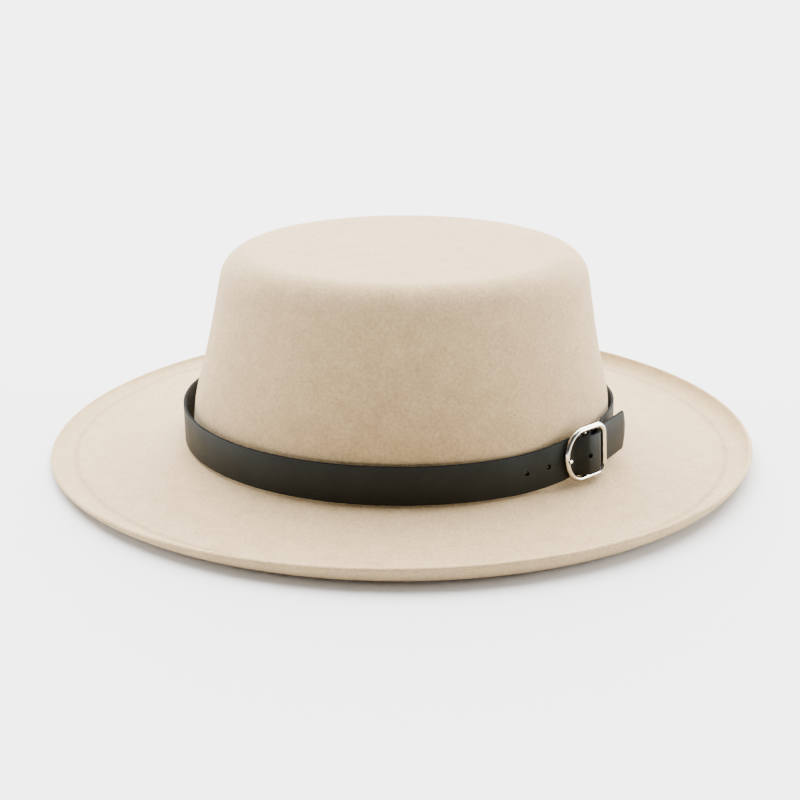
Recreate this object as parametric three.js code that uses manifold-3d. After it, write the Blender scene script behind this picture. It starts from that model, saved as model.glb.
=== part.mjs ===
// Flat-crowned felt hat with a buckled leather band.
// Millimetres, +Z up. The hat rests on the flat ring under its brim, at z = 0.
// X runs along the hat's length, Y across it, and the buckle lies towards +X and -Y.
import * as THREE from 'three';
import Module from 'manifold-3d';

// Felt body
const feltThickness = 2.0;
const footHalfLength = 99.8;
const footHalfWidth = 85.8;
const crownHeight = 96.5;
const crownTaper = 13.0;
const topEdgeRadius = 14.7;
const crownLean = 2.0;
const footRadius = 1.6;
const brimWidthEnds = 66.4;
const brimWidthSides = 64.5;
const brimDrop = 3.2;
const restRingWidth = 5.0;
const curlWidth = 12.5;
const curlEndAngle = 75;
const curlHeightRight = 6.5;
const curlHeightLeft = 2.2;
const curlHeightFront = 8.7;
const curlHeightBack = 5.9;

// Leather band
const bandHeight = 17.9;
const bandThickness = 1.2;
const bandEdgeChamfer = 0.2;
const foldThickness = 0.8;
const flapShare = 0.7;
const bandToCrown = 0.9;
const bandSlackLeft = 1.9;
const bandToBrim = 0.6;
const bandLift = 2.9;
const bandLiftNear = 20;
const bandLiftFar = 80;
const bandSagReach = 34;
const bandLeaveTurn = 18;
const bandArriveTurn = 34;
const tailLength = 26;
const tailCurveRadius = 200;
const tailHeading = 13;
const tailEndDepth = 2.5;
const holeRadius = 1.1;
const holePitch = 11.0;
const holeCount = 4;
const holesPastProng = 1;

// Buckle and prong
const buckleTurn = -39.1;
const buckleSwing = 6;
const buckleLean = 5;
const buckleStandOff = 6.1;
const frameWidth = 23.8;
const frameSideGap = 1.0;
const rimRadius = 1.2;
const roundEndReach = 9.5;
const squareCornerRadius = 4.5;
const barRadius = 0.9;
const prongRadius = 0.45;
const prongHalfWidth = 0.85;
const rimToRamp = 4.0;
const clearance = 0.3;
const cutBeyond = 0.24;

// Mesh fineness
const roundSteps = 70;
const topEdgeSteps = 6;
const footBendSteps = 3;
const topShares = [0.55, 1];
const brimShares = [0.3, 0.65, 1];
const curlShares = [0.3, 0.5, 0.65, 0.78, 0.9, 1];
const ovalSteps = 34;
const holeSides = 12;
const slotSides = 24;
const rimSides = 10;
const prongSides = 8;
const prongSteps = 42;

const deg = Math.PI / 180;
const half = feltThickness / 2;
const wasm = await Module();
wasm.setup();

// Closed shell from rows of points that run round the same way, ending in a point or a fan
function shellFromRows(rows, startPoint, endPoint) {
  const count = rows[0].length;
  const positions = [];
  for (const row of rows) {
    for (const p of row) {
      positions.push(p.x, p.y, p.z);
    }
  }
  const first = positions.length / 3;
  positions.push(startPoint.x, startPoint.y, startPoint.z);
  positions.push(endPoint.x, endPoint.y, endPoint.z);
  const faces = [];
  const last = (rows.length - 1) * count;
  for (let i = 0; i < count; i += 1) {
    const next = (i + 1) % count;
    for (let r = 0; r + 1 < rows.length; r += 1) {
      const a = r * count + i;
      const b = r * count + next;
      faces.push(a, a + count, b);
      faces.push(b, a + count, b + count);
    }
    faces.push(first, i, next);
    faces.push(last + i, first + 1, last + next);
  }
  return geometryFrom(positions, faces);
}

// Indexed geometry whose faces point out
function geometryFrom(positions, faces) {
  const at = (i) => new THREE.Vector3(positions[3 * i], positions[3 * i + 1], positions[3 * i + 2]);
  let volume = 0;
  for (let f = 0; f < faces.length; f += 3) {
    volume += at(faces[f]).dot(at(faces[f + 1]).cross(at(faces[f + 2])));
  }
  if (volume < 0) {
    for (let f = 0; f < faces.length; f += 3) {
      const kept = faces[f];
      faces[f] = faces[f + 1];
      faces[f + 1] = kept;
    }
  }
  const geometry = new THREE.BufferGeometry();
  geometry.setAttribute('position', new THREE.Float32BufferAttribute(positions, 3));
  geometry.setIndex(faces);
  return geometry;
}

// Manifold solid of a closed indexed geometry, and back
function solidOf(geometry) {
  return new wasm.Manifold(new wasm.Mesh({
    numProp: 3,
    vertProperties: new Float32Array(geometry.attributes.position.array),
    triVerts: new Uint32Array(geometry.index.array),
  }));
}

function geometryOf(solid) {
  const mesh = solid.getMesh();
  return geometryFrom(Array.from(mesh.vertProperties), Array.from(mesh.triVerts));
}

// Round bar between two points
function roundBar(from, to, radius, sides) {
  const along = new THREE.Vector3().subVectors(to, from).normalize();
  const helper = Math.abs(along.z) > 0.9 ? new THREE.Vector3(1, 0, 0) : new THREE.Vector3(0, 0, 1);
  const u = new THREE.Vector3().crossVectors(along, helper).normalize();
  const v = new THREE.Vector3().crossVectors(along, u);
  const rows = [from, to].map((end) => circleRow(end, u, v, radius, sides));
  return shellFromRows(rows, from, to);
}

function circleRow(center, u, v, radius, sides, radiusAcross = radius) {
  const row = [];
  for (let i = 0; i < sides; i += 1) {
    const angle = (i / sides) * 2 * Math.PI;
    const p = center.clone();
    p.addScaledVector(u, radius * Math.cos(angle));
    p.addScaledVector(v, radiusAcross * Math.sin(angle));
    row.push(p);
  }
  return row;
}

// The felt's middle surface in section, as steps outwards from the foot of the crown and heights.
// Each row also holds the sheet's upward normal and its share of the curl's rise.
const footMean = (footHalfLength + footHalfWidth) / 2;
const brimWidth = (brimWidthEnds + brimWidthSides) / 2;
const ringHeight = half;
const brimRootHeight = half + brimDrop;
const restOuter = brimWidth - curlWidth;
const restInner = restOuter - restRingWidth;

function sectionRow(out, height, slope, rise = 0) {
  return { out, height, slope, rise };
}

function crownTopRows() {
  const flatEnd = -crownTaper - topEdgeRadius;
  return topShares.map((share) => {
    const out = -footMean + share * (footMean + flatEnd);
    return sectionRow(out, crownHeight - half, 0);
  });
}

function wallAngle() {
  const wallHeight = crownHeight - topEdgeRadius - brimRootHeight;
  return Math.atan2(wallHeight, crownTaper);
}

function topEdgeRows() {
  const rows = [];
  const radius = topEdgeRadius - half;
  const end = wallAngle();
  for (let i = 1; i <= topEdgeSteps; i += 1) {
    const angle = (i / topEdgeSteps) * end;
    const out = -crownTaper - topEdgeRadius + radius * Math.sin(angle);
    const height = crownHeight - topEdgeRadius + radius * Math.cos(angle);
    rows.push(sectionRow(out, height, -angle));
  }
  return rows;
}

// The wall flares down to the band's height and stands nearly upright behind the band. A small
// bend at its foot turns the sheet out into the brim.
function wallAndFootRows(wallTop) {
  const corner = { out: -half, height: brimRootHeight };
  const places = [
    { down: 0.28, inset: 0.7 },
    { down: 0.47, inset: 0.46 },
    { down: 0.63, inset: 0.22 },
    { down: 0.74, inset: 0.09 },
    { down: 0.87, inset: 0.02 },
  ];
  const wall = places.map((place) => ({
    out: corner.out + place.inset * (wallTop.out - corner.out),
    height: wallTop.height + place.down * (corner.height - wallTop.height),
  }));
  const slopeDown = (from, to) => Math.atan2(from.height - to.height, to.out - from.out);
  const wallSlope = slopeDown(wall[wall.length - 1], corner);
  const brimSlope = Math.atan2(2 * brimDrop, restInner);
  const bend = wallSlope - brimSlope;
  const radius = footRadius + half;
  const reach = radius * Math.tan(bend / 2);
  const wallEnd = {
    out: corner.out - reach * Math.cos(wallSlope),
    height: corner.height + reach * Math.sin(wallSlope),
  };
  const points = [wallTop, ...wall, wallEnd];
  const rows = wall.map((p, i) => sectionRow(p.out, p.height, -slopeDown(points[i], points[i + 2])));
  rows.push(sectionRow(wallEnd.out, wallEnd.height, -wallSlope));
  const center = {
    out: wallEnd.out + radius * Math.sin(wallSlope),
    height: wallEnd.height + radius * Math.cos(wallSlope),
  };
  for (let i = 1; i <= footBendSteps; i += 1) {
    const slope = wallSlope - (i / footBendSteps) * bend;
    const out = center.out - radius * Math.sin(slope);
    rows.push(sectionRow(out, center.height - radius * Math.cos(slope), -slope));
  }
  return rows;
}

// The brim falls away from the crown and lies flat where it rests
function brimRows(start) {
  const rows = [];
  for (const share of brimShares) {
    const out = start.out + share * (restInner - start.out);
    const rest = (restInner - out) / (restInner - start.out);
    const height = ringHeight + (start.height - ringHeight) * rest * rest;
    const slope = Math.atan2(2 * (start.height - ringHeight) * rest, restInner - start.out);
    rows.push(sectionRow(out, height, -slope));
  }
  rows.push(sectionRow(restOuter, ringHeight, 0));
  return rows;
}

// The curl's slope grows with the square of the way along it
function curlRows() {
  const fine = 60;
  const path = [{ out: 0, height: 0 }];
  for (let i = 0; i < fine; i += 1) {
    const slope = curlEndAngle * deg * ((i + 0.5) / fine) ** 2;
    const before = path[i];
    path.push({ out: before.out + Math.cos(slope), height: before.height + Math.sin(slope) });
  }
  const whole = path[fine];
  const stretch = curlWidth / whole.out;
  const rows = [];
  for (const share of curlShares) {
    const p = path[Math.round(share * fine)];
    const slope = curlEndAngle * deg * share * share;
    const rise = p.height / whole.height;
    const row = sectionRow(restOuter + p.out * stretch, ringHeight, slope, rise);
    row.curlRise = whole.height * stretch;
    rows.push(row);
  }
  return rows;
}

function feltSection() {
  const top = crownTopRows();
  const edge = topEdgeRows();
  const wall = wallAndFootRows(edge[edge.length - 1]);
  const brim = brimRows(wall[wall.length - 1]);
  return [...top, ...edge, ...wall, ...brim, ...curlRows()];
}

// Height of the brim's edge over its rest ring, from the four named sides
function curlHeight(turn) {
  const length = (curlHeightRight + curlHeightLeft) / 2;
  const across = (curlHeightFront + curlHeightBack) / 2;
  const mean = (length + across) / 2;
  const tilt = ((curlHeightRight - curlHeightLeft) / 2) * Math.cos(turn)
    + ((curlHeightBack - curlHeightFront) / 2) * Math.sin(turn);
  return mean + tilt + ((length - across) / 2) * Math.cos(2 * turn);
}

// A section row and a step off the middle surface, turned into a point round the oval
function feltPoint(row, turn, aside, beyond = 0) {
  const share = 1 + Math.min(row.out, 0) / footMean;
  const stretch = row.rise ? curlHeight(turn) / row.curlRise : 1;
  const slope = Math.atan(Math.tan(row.slope) * stretch);
  const step = -aside * Math.sin(slope) + beyond * Math.cos(slope);
  const lift = aside * Math.cos(slope) + beyond * Math.sin(slope);
  const brim = Math.max(row.out, 0) / brimWidth;
  const a = footHalfLength * share + brimWidthEnds * brim + step;
  const b = footHalfWidth * share + brimWidthSides * brim + step;
  const height = row.height + row.rise * curlHeight(turn) + lift;
  const lean = crownLean * Math.max(0, (height - brimRootHeight) / (crownHeight - brimRootHeight));
  return new THREE.Vector3(a * Math.cos(turn) + lean, b * Math.sin(turn), height);
}

function feltBody() {
  const section = feltSection();
  const turns = Array.from({ length: roundSteps }, (_, i) => (i / roundSteps) * 2 * Math.PI);
  const rowOf = (row, aside, beyond) => turns.map((turn) => feltPoint(row, turn, aside, beyond));
  const rows = section.map((row) => rowOf(row, half, 0));
  const edge = section[section.length - 1];
  for (const angle of [45, 90, 135]) {
    rows.push(rowOf(edge, half * Math.cos(angle * deg), half * Math.sin(angle * deg)));
  }
  for (const row of [...section].reverse()) {
    rows.push(rowOf(row, -half, 0));
  }
  const above = new THREE.Vector3(crownLean, 0, crownHeight);
  const below = feltPoint(sectionRow(-footMean, crownHeight - half, 0), 0, -half);
  return shellFromRows(rows, above, below);
}

// The buckle's own directions: along the band, out from the crown, and its middle
const bandStandOff = bandToCrown + bandThickness / 2;
const bandBaseHeight = feltThickness + brimDrop + bandToBrim + bandHeight / 2;

function ovalPoint(turn, off) {
  return new THREE.Vector2((footHalfLength + off) * Math.cos(turn), (footHalfWidth + off) * Math.sin(turn));
}

// The band's middle line round the crown, which stands looser at the left end
function bandOval(turn, extra = 0) {
  const slack = bandSlackLeft * Math.max(0, -Math.cos(turn)) ** 2;
  return ovalPoint(turn, bandStandOff + slack + extra);
}

function ovalNormal(turn) {
  return new THREE.Vector2(Math.cos(turn) / footHalfLength, Math.sin(turn) / footHalfWidth).normalize();
}

const seat = ovalNormal(buckleTurn * deg);
const buckleOut = seat.clone().rotateAround(new THREE.Vector2(0, 0), -buckleSwing * deg);
const buckleAlong = new THREE.Vector2(-buckleOut.y, buckleOut.x);
const buckleMiddle = ovalPoint(buckleTurn * deg, 0).addScaledVector(seat, buckleStandOff);
const buckleHeight = bandBaseHeight + bandLift;

function atBuckle(along, out) {
  return buckleMiddle.clone().addScaledVector(buckleAlong, along).addScaledVector(buckleOut, out);
}

// Levels of the band at the buckle: under the rim, over the prong's eye on the bar, and round the bar
const rimLevel = -(rimRadius + clearance + bandThickness / 2);
const eyeOuter = barRadius + clearance + 2 * prongRadius;
const humpLevel = eyeOuter + clearance + bandThickness / 2;
const foldLevel = barRadius + clearance + foldThickness / 2;
const frameHalf = frameWidth / 2;
const rampEnd = frameHalf - rimRadius - rimToRamp;
const frameHeight = bandHeight + 2 * frameSideGap + 2 * rimRadius;
const prongHoleAlong = -frameHalf + rimRadius + holeRadius;

// Slope of a straight ramp that leaves the round over the bar at one level and ends at another
function rampSlope(level, end) {
  return Math.atan2(-end, rampEnd) + Math.asin(level / Math.hypot(rampEnd, end));
}

function rampPoints(level, end) {
  const slope = rampSlope(level, end);
  const top = { along: level * Math.sin(slope), out: level * Math.cos(slope) };
  const places = [
    { share: 0.5, steepness: 1 },
    { share: 0.93, steepness: 0.8 },
  ];
  return places.map((place) => ({
    along: top.along + place.share * (rampEnd - top.along),
    out: top.out + place.share * (end - top.out),
    angle: slope * place.steepness,
  }));
}

// The outer layer bulges past the bar before it dives under the frame's straight end
function bulgePoints() {
  const places = [
    { reach: 0.3, height: 1 },
    { reach: 0.52, height: 0.88 },
    { reach: 0.69, height: 0.45 },
    { reach: 0.8, height: 0.1 },
  ];
  return places.map((place) => ({
    along: place.reach * frameHalf,
    out: rimLevel + place.height * (humpLevel - rimLevel),
  }));
}

// The band's middle line from the end of its free tail, through the buckle, once round the
// crown, back under the tail and round the bar to the end of the folded flap
function bandLine() {
  const line = [];
  const add = (p, thickness) => line.push({ x: p.x, y: p.y, thickness });
  const tailTurn = tailLength / tailCurveRadius;
  const tailPlaces = [0, 0.25, 0.6, 1].map((share) => 1 - share * (tailEndDepth / tailLength));
  for (const place of [...tailPlaces, 0.62, 0.32]) {
    const turned = place * tailTurn;
    const chord = 2 * tailCurveRadius * Math.sin(turned / 2);
    const heading = -tailHeading * deg - turned / 2;
    const along = frameHalf + chord * Math.cos(heading);
    add(atBuckle(along, rimLevel + chord * Math.sin(heading)), bandThickness);
  }
  const underBar = [
    { along: frameHalf - rimRadius, out: rimLevel, angle: 0 },
    { along: frameHalf + rimRadius, out: rimLevel, angle: tailHeading * deg },
  ];
  for (const p of [...bulgePoints(), ...underBar].reverse()) {
    add(atBuckle(p.along, p.out), bandThickness);
  }
  const leftSlope = rampSlope(humpLevel, rimLevel);
  for (const share of [0, 0.5, 1]) {
    const angle = share * leftSlope;
    add(atBuckle(-humpLevel * Math.sin(angle), humpLevel * Math.cos(angle)), bandThickness);
  }
  for (const p of rampPoints(humpLevel, rimLevel)) {
    add(atBuckle(-p.along, p.out), bandThickness);
  }
  add(atBuckle(-rampEnd - holeRadius, rimLevel), bandThickness);
  add(atBuckle(prongHoleAlong, rimLevel), bandThickness);
  add(atBuckle(-frameHalf - rimRadius, rimLevel - clearance / 2), bandThickness);
  const leave = buckleTurn - bandLeaveTurn;
  const arrive = buckleTurn - 360 + bandArriveTurn;
  for (let i = 0; i <= ovalSteps; i += 1) {
    const turn = (leave + (i / ovalSteps) * (arrive - leave)) * deg;
    add(bandOval(turn), bandThickness);
  }
  // Under the tail the band leaves the crown again and thins towards the fold
  const foldInset = bandThickness / 2 + clearance + foldThickness / 2;
  const flapInset = foldInset + foldThickness + clearance;
  const beside = (p, inset) => {
    const along = p.along - inset * Math.sin(p.angle);
    return atBuckle(along, p.out - inset * Math.cos(p.angle));
  };
  const standOff = buckleStandOff + rimLevel - foldInset;
  const inner = rampPoints(foldLevel, rimLevel - foldInset);
  const joins = [
    { turnShare: 0.79, inwards: 0.12, full: 0.9 },
    { turnShare: 0.59, inwards: 0.42, full: 0.6 },
    { turnShare: 0.38, inwards: 0.78, full: 0.3 },
  ];
  for (const join of joins) {
    const thickness = foldThickness + join.full * (bandThickness - foldThickness);
    const turn = (buckleTurn + join.turnShare * bandArriveTurn) * deg;
    add(bandOval(turn, join.inwards * (standOff - bandStandOff)), thickness);
  }
  for (const p of [{ ...underBar[0], out: rimLevel - foldInset }, inner[1], inner[0]]) {
    add(atBuckle(p.along, p.out), foldThickness);
  }
  for (const angle of [60, 90, 135, 180, 225, 270]) {
    const along = foldLevel * Math.cos(angle * deg);
    add(atBuckle(along, foldLevel * Math.sin(angle * deg)), foldThickness);
  }
  const flapStart = beside(inner[1], foldThickness + clearance);
  const flapEnd = atBuckle(underBar[0].along, rimLevel - flapInset);
  add(flapStart, foldThickness);
  add(flapStart.clone().lerp(flapEnd, flapShare), foldThickness);
  return line;
}

// Evenly fine samples of the line, with the distance run so far
function sampleLine(line) {
  const controls = line.map((p) => new THREE.Vector3(p.x, p.y, p.thickness));
  const curve = new THREE.CatmullRomCurve3(controls, false, 'centripetal');
  const perSpan = 2;
  const count = (line.length - 1) * perSpan;
  const samples = [];
  let run = 0;
  for (let i = 0; i <= count; i += 1) {
    const p = curve.getPoint(i / count);
    const slope = curve.getTangent(i / count);
    const flat = new THREE.Vector2(slope.x, slope.y).normalize();
    if (i > 0) {
      run += Math.hypot(p.x - samples[i - 1].x, p.y - samples[i - 1].y);
    }
    samples.push({ x: p.x, y: p.y, thickness: p.z, side: new THREE.Vector2(-flat.y, flat.x), run });
  }
  return samples;
}

// How near a place is to the buckle, from 0 far away to 1 close by
function nearness(x, y) {
  const distance = Math.hypot(x - buckleMiddle.x, y - buckleMiddle.y);
  return THREE.MathUtils.smoothstep((bandLiftFar - distance) / (bandLiftFar - bandLiftNear), 0, 1);
}

// The band stands higher at the buckle, and sinks sooner on the side of the prong
function bandLiftAt(x, y) {
  const along = (x - buckleMiddle.x) * buckleAlong.x + (y - buckleMiddle.y) * buckleAlong.y;
  const sag = THREE.MathUtils.smoothstep(1 + along / bandSagReach, 0, 1);
  return bandLift * Math.min(sag, nearness(x, y));
}

// At the buckle the band leans in towards the crown with the frame
function leanIn(geometry) {
  const positions = geometry.attributes.position;
  for (let i = 0; i < positions.count; i += 1) {
    const x = positions.getX(i);
    const y = positions.getY(i);
    const up = positions.getZ(i) - buckleHeight;
    const move = -up * Math.tan(buckleLean * deg) * nearness(x, y);
    positions.setXY(i, x + buckleOut.x * move, y + buckleOut.y * move);
  }
  return geometry;
}

// One cut across the band: a tall thin section with its long edges just broken
function bandRow(sample, trim) {
  const t = sample.thickness / 2;
  const c = Math.min(bandEdgeChamfer, t / 2);
  const h = bandHeight / 2 - trim;
  const middle = bandBaseHeight + bandLiftAt(sample.x, sample.y);
  const corners = [
    [t, h - c], [t - c, h], [c - t, h], [-t, h - c],
    [-t, c - h], [c - t, -h], [t - c, -h], [t, c - h],
  ];
  return corners.map(([aside, up]) => new THREE.Vector3(
    sample.x + sample.side.x * aside,
    sample.y + sample.side.y * aside,
    middle + up,
  ));
}

function bandCutter(sample, depth, radius) {
  const z = bandBaseHeight + bandLiftAt(sample.x, sample.y);
  const side = new THREE.Vector3(sample.side.x, sample.side.y, 0);
  const center = new THREE.Vector3(sample.x, sample.y, z);
  const from = center.clone().addScaledVector(side, -depth);
  return solidOf(roundBar(from, center.clone().addScaledVector(side, depth), radius, holeSides));
}

function hatBand() {
  const samples = sampleLine(bandLine());
  // The tail ends in a shallow arc
  const endRadius = ((bandHeight / 2) ** 2 + tailEndDepth ** 2) / (2 * tailEndDepth);
  const rows = samples.map((sample) => {
    const inset = Math.min(tailEndDepth, Math.max(sample.run, tailEndDepth / 20));
    return bandRow(sample, bandHeight / 2 - Math.sqrt(endRadius ** 2 - (endRadius - inset) ** 2));
  });
  const centerOf = (row) => {
    const sum = row.reduce((total, p) => total.add(p), new THREE.Vector3());
    return sum.divideScalar(row.length);
  };
  let band = solidOf(shellFromRows(rows, centerOf(rows[0]), centerOf(rows[rows.length - 1])));
  // The holes are spaced each way from the one that the prong uses
  const prongAt = atBuckle(prongHoleAlong, rimLevel);
  const outer = samples.slice(0, Math.floor(samples.length / 2));
  const gapTo = (s) => Math.hypot(s.x - prongAt.x, s.y - prongAt.y);
  const home = outer.reduce((best, s) => (gapTo(s) < gapTo(best) ? s : best));
  for (let i = 0; i < holeCount; i += 1) {
    const run = home.run + (i - holesPastProng) * holePitch;
    const after = samples.findIndex((s) => s.run >= run);
    const a = samples[after - 1];
    const b = samples[after];
    const share = (run - a.run) / (b.run - a.run);
    const side = a.side.clone().lerp(b.side, share).normalize();
    const place = { x: a.x + share * (b.x - a.x), y: a.y + share * (b.y - a.y), side };
    band = band.subtract(bandCutter(place, bandThickness / 2 + cutBeyond, holeRadius));
  }
  // Slot through the fold for the prong's eye
  const slotHalf = prongHalfWidth + clearance;
  const at = (z) => new THREE.Vector3(buckleMiddle.x, buckleMiddle.y, z);
  const slotRadius = eyeOuter + cutBeyond;
  const slot = roundBar(at(buckleHeight - slotHalf), at(buckleHeight + slotHalf), slotRadius, slotSides);
  return leanIn(geometryOf(band.subtract(solidOf(slot))));
}

// The buckle's frame is straight at one end and round at the other, with a bar across its middle
function frameOutline() {
  const h = frameHeight / 2;
  const s = squareCornerRadius;
  const right = frameHalf - s;
  const left = roundEndReach - frameHalf;
  const corners = [
    { along: right, up: s - h, reach: s, rise: s, from: -90, sweep: 90, steps: 4 },
    { along: right, up: h - s, reach: s, rise: s, from: 0, sweep: 90, steps: 4 },
    { along: left, up: 0, reach: roundEndReach, rise: h, from: 90, sweep: 180, steps: 16 },
  ];
  const outline = [];
  for (const corner of corners) {
    for (let i = 0; i <= corner.steps; i += 1) {
      const turn = (corner.from + (corner.sweep * i) / corner.steps) * deg;
      outline.push({
        along: corner.along + corner.reach * Math.cos(turn),
        up: corner.up + corner.rise * Math.sin(turn),
        angle: Math.atan2(corner.reach * Math.sin(turn), corner.rise * Math.cos(turn)),
      });
    }
  }
  return outline;
}

function buckleFrame() {
  const out = new THREE.Vector3(buckleOut.x, buckleOut.y, 0);
  const rows = frameOutline().map((p) => {
    const flat = atBuckle(p.along, 0);
    const center = new THREE.Vector3(flat.x, flat.y, buckleHeight + p.up);
    const away = new THREE.Vector3(buckleAlong.x, buckleAlong.y, 0).multiplyScalar(Math.cos(p.angle));
    away.z = Math.sin(p.angle);
    return circleRow(center, away, out, rimRadius, rimSides);
  });
  const positions = rows.flat().flatMap((p) => [p.x, p.y, p.z]);
  const faces = [];
  for (let r = 0; r < rows.length; r += 1) {
    const nextRow = ((r + 1) % rows.length) * rimSides;
    for (let i = 0; i < rimSides; i += 1) {
      const next = (i + 1) % rimSides;
      faces.push(r * rimSides + i, nextRow + i, r * rimSides + next);
      faces.push(r * rimSides + next, nextRow + i, nextRow + next);
    }
  }
  const reach = frameHeight / 2;
  const at = (z) => new THREE.Vector3(buckleMiddle.x, buckleMiddle.y, z);
  const bar = roundBar(at(buckleHeight - reach), at(buckleHeight + reach), barRadius, rimSides);
  return leanIn(geometryOf(solidOf(geometryFrom(positions, faces)).add(solidOf(bar))));
}

// The prong is a flattened wire: an eye round the bar, a shank under the band, and a tip that comes
// up through its hole and lies over the round end of the frame
function prong() {
  const eye = barRadius + clearance + prongRadius;
  const under = rimLevel - bandThickness / 2 - clearance - prongRadius;
  const over = rimRadius + clearance + prongRadius;
  const points = [];
  for (let angle = 170; angle >= -90; angle -= 20) {
    points.push([eye * Math.cos(angle * deg), eye * Math.sin(angle * deg)]);
  }
  const shank = [
    { reach: 0.35, depth: 0.8 },
    { reach: 0.6, depth: 1 },
    { reach: 0.86, depth: 1 },
  ];
  for (const place of shank) {
    points.push([place.reach * prongHoleAlong, place.depth * under]);
  }
  points.push([prongHoleAlong, rimLevel]);
  points.push([prongHoleAlong - 0.15 * holeRadius, 0]);
  const tip = [
    { back: 0.7, height: 0.8 },
    { back: 0, height: 1 },
    { back: -0.3, height: 1 },
  ];
  for (const place of tip) {
    points.push([-frameHalf + place.back * over, place.height * over]);
  }
  const hole = atBuckle(prongHoleAlong, rimLevel);
  const sink = bandBaseHeight + bandLiftAt(hole.x, hole.y) - buckleHeight;
  const controls = points.map(([along, out]) => {
    const p = atBuckle(along, out);
    const share = THREE.MathUtils.clamp(along / prongHoleAlong, 0, 1);
    return new THREE.Vector3(p.x, p.y, buckleHeight + sink * share * share);
  });
  const curve = new THREE.CatmullRomCurve3(controls, false, 'centripetal');
  const up = new THREE.Vector3(0, 0, 1);
  const rows = [];
  for (let i = 0; i <= prongSteps; i += 1) {
    const aside = new THREE.Vector3().crossVectors(curve.getTangent(i / prongSteps), up).normalize();
    const middle = curve.getPoint(i / prongSteps);
    rows.push(circleRow(middle, aside, up, prongRadius, prongSides, prongHalfWidth));
  }
  return leanIn(shellFromRows(rows, curve.getPoint(0), curve.getPoint(1)));
}

function namedMesh(name, geometry, material) {
  geometry.computeVertexNormals();
  const mesh = new THREE.Mesh(geometry, new THREE.MeshStandardMaterial(material));
  mesh.name = name;
  return mesh;
}

const hat = new THREE.Group();
hat.name = 'fedora';
hat.add(namedMesh('felt_body', feltBody(), { color: 0xe6d9c5, roughness: 0.95, metalness: 0 }));
hat.add(namedMesh('hat_band', hatBand(), { color: 0x2e2e2a, roughness: 0.5, metalness: 0 }));
hat.add(namedMesh('buckle_frame', buckleFrame(), { color: 0xc9c9c6, roughness: 0.2, metalness: 1 }));
hat.add(namedMesh('prong', prong(), { color: 0xc9c9c6, roughness: 0.2, metalness: 1 }));

export default hat;
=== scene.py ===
import math
import bpy
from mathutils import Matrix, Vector
from mathutils.geometry import interpolate_bezier


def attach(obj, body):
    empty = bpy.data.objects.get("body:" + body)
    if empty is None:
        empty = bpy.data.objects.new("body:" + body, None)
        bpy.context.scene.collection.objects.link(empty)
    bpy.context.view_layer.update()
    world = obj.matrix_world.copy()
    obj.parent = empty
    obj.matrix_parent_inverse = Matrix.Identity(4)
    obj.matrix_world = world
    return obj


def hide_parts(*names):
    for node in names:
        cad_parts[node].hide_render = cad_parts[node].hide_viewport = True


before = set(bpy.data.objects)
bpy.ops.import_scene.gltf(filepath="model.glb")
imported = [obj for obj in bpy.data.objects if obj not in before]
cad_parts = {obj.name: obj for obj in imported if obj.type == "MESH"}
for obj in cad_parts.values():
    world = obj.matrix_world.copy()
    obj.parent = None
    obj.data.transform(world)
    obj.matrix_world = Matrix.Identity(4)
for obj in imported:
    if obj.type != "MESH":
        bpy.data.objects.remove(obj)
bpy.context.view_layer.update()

# Camera
# The hat is seen from the front and a little from above, across its longer way.
MM = 0.001
bpy.ops.object.select_all(action="DESELECT")
look_at = Vector((-0.37, 0.0, 20.29)) * MM
camera_distance = 650 * MM
camera_height_angle = math.radians(21.12)
camera_offset = Vector((0, -math.cos(camera_height_angle), math.sin(camera_height_angle)))
bpy.ops.object.camera_add(
    location=look_at + camera_offset * camera_distance,
    rotation=(math.pi / 2 - camera_height_angle, 0, 0),
)
camera = bpy.context.object
camera.data.sensor_width = 36
camera.data.lens = 60.63
bpy.context.scene.camera = camera

# Felt body
# Crown and brim are one hood of beige wool felt, steamed over a block, so they are a single
# sheet 2 mm thick. The brim falls to the ring that it rests on, and its cut edge curls up.
FELT_THICKNESS = 2.0
FOOT_LENGTH = 99.8
FOOT_WIDTH = 85.8
FOOT_MEAN = (FOOT_LENGTH + FOOT_WIDTH) / 2
CROWN_HEIGHT = 96.5
CROWN_TAPER = 13.0
TOP_EDGE_RADIUS = 14.7
CROWN_LEAN = 2.0
FOOT_RADIUS = 1.6
BRIM_ENDS = 66.4
BRIM_SIDES = 64.5
BRIM_MEAN = (BRIM_ENDS + BRIM_SIDES) / 2
BRIM_DROP = 3.2
REST_RING = 5.0
CURL_WIDTH = 12.5
CURL_END_ANGLE = math.radians(75)
CURL_RIGHT = 6.5
CURL_LEFT = 2.2
CURL_FRONT = 8.7
CURL_BACK = 5.9
CREASE_IN_CURL = 1.5
FELT_EDGE = 0.75
SHARP_CORNER = math.radians(60)
# The wall from its top to its foot, as (share of the way down, share of the lean still to go)
WALL_LINE = ((0, 1), (0.28, 0.7), (0.47, 0.46), (0.63, 0.22), (0.74, 0.09), (0.87, 0.02))
# Rings of the mesh over each part of the hood, and points round each ring
TOP_RINGS = 8
TOP_EDGE_RINGS = 10
FOOT_RINGS = 5
BRIM_RINGS = 10
CURL_RINGS = 12
CURL_FINE_STEPS = 120
FELT_AROUND = 160
half_felt = FELT_THICKNESS / 2
rest_outer = BRIM_MEAN - CURL_WIDTH
rest_inner = rest_outer - REST_RING
brim_root = half_felt + BRIM_DROP


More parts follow.
